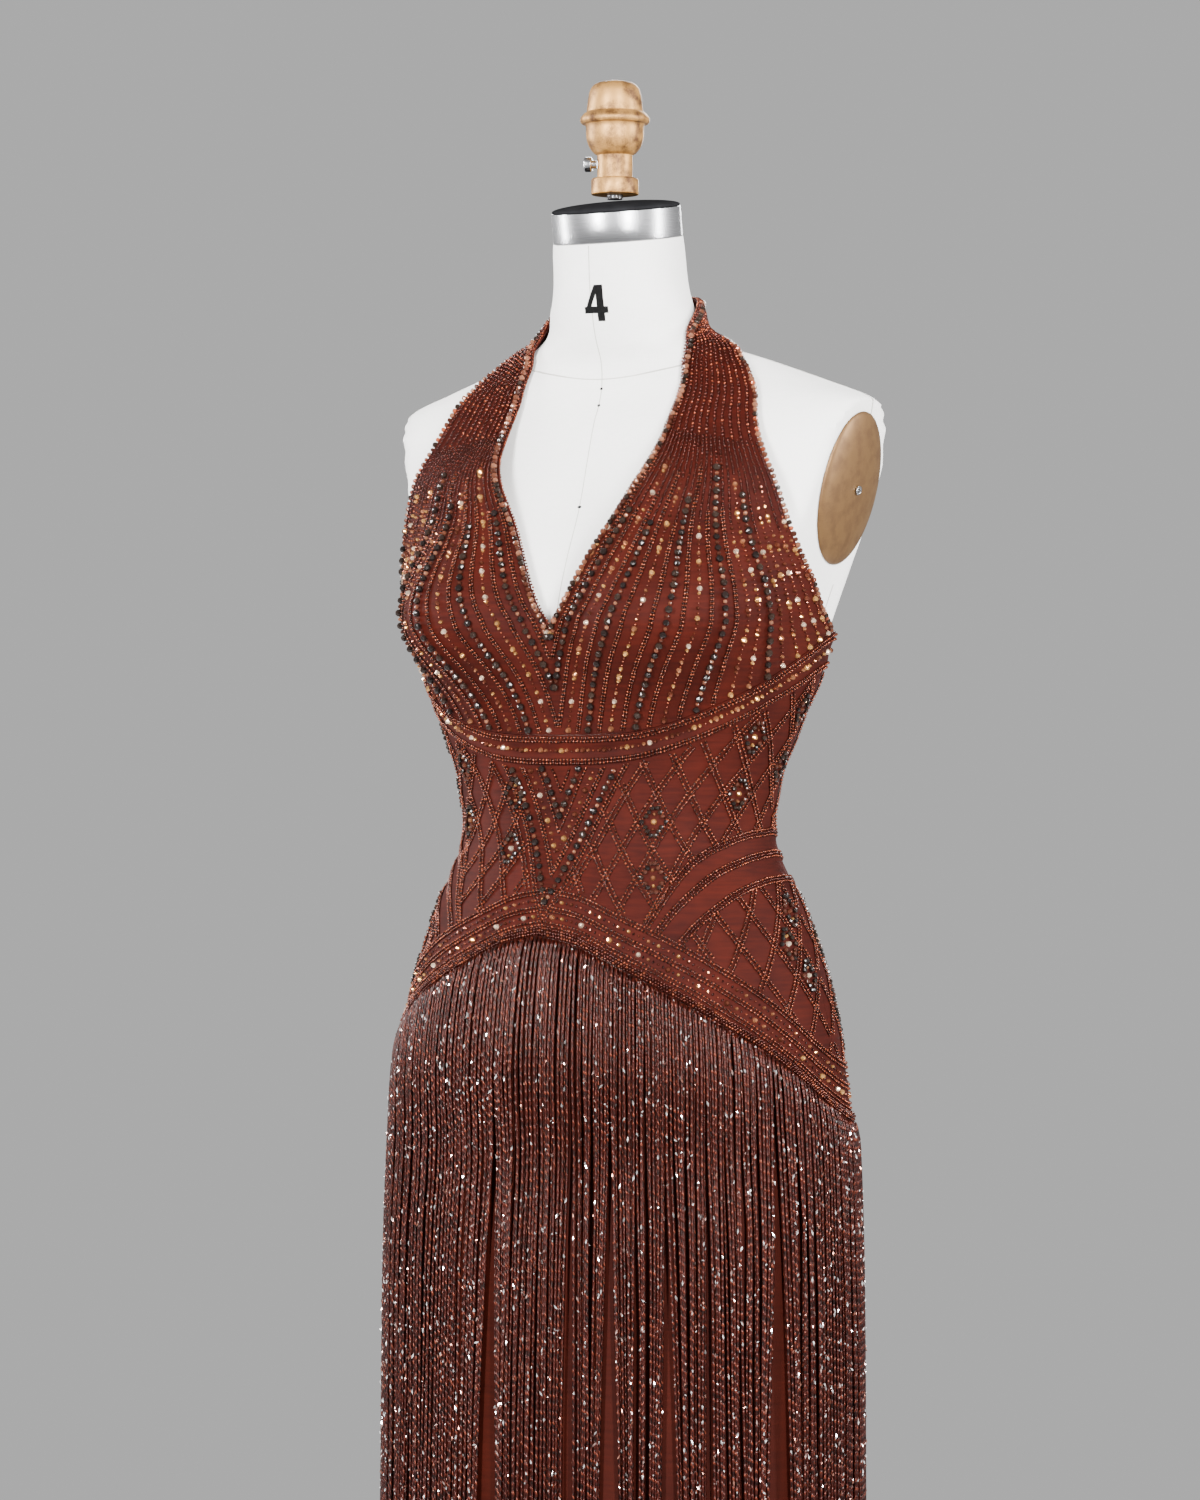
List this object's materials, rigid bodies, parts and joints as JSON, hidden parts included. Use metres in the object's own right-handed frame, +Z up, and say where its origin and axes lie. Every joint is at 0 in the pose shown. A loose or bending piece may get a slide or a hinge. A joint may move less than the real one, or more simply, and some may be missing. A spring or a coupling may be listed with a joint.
{
  "type": "mermaid evening gown on a limbless dress form with a stand",
  "caption": "Halter-neck evening gown with a beaded yoke and a flared fringed skirt, worn by a limbless dress form on a pole and round base.",
  "frame": {"origin": "on the floor, at the middle of the stand's round base", "axes": "+Z up; the gown's front faces -Y; the wearer's left side is at +X"},
  "size_m": [0.6044, 0.5667, 1.6077],
  "materials": {
    "beaded_cloth": "rust silk georgette covered with copper and bronze glass beads",
    "underskirt_cloth": "smooth matt rust silk crepe",
    "bead_fringe": "twisted strands of rust and silver-lined seed beads",
    "form_canvas": "tightly stretched off-white cotton canvas over a moulded form",
    "gold_paint": "worn satin gold paint",
    "steel": "brushed",
    "black_gloss": "black gloss",
    "black_iron": "satin black",
    "board_wood": "sanded plywood"
  },
  "bodies": {
    "root": {"form_torso": "form_canvas", "arm_plate_left": "gold_paint", "arm_plate_right": "gold_paint", "arm_screw_left": "steel", "arm_screw_right": "steel", "neck_ring": "steel", "neck_cap": "black_gloss", "neck_rod": "steel", "finial": "gold_paint", "finial_screw": "steel", "bottom_board": "board_wood", "pole": "steel", "base": "black_iron", "bodice_front": "beaded_cloth", "band_front": "beaded_cloth", "band_back_left": "beaded_cloth", "band_back_right": "beaded_cloth", "yoke_front": "beaded_cloth", "yoke_back_left": "beaded_cloth", "yoke_back_right": "beaded_cloth", "skirt_front": "underskirt_cloth", "skirt_back_left": "underskirt_cloth", "skirt_back_right": "underskirt_cloth", "fringe_front": "bead_fringe", "fringe_back_left": "bead_fringe", "fringe_back_right": "bead_fringe"}
  },
  "joints": []
}
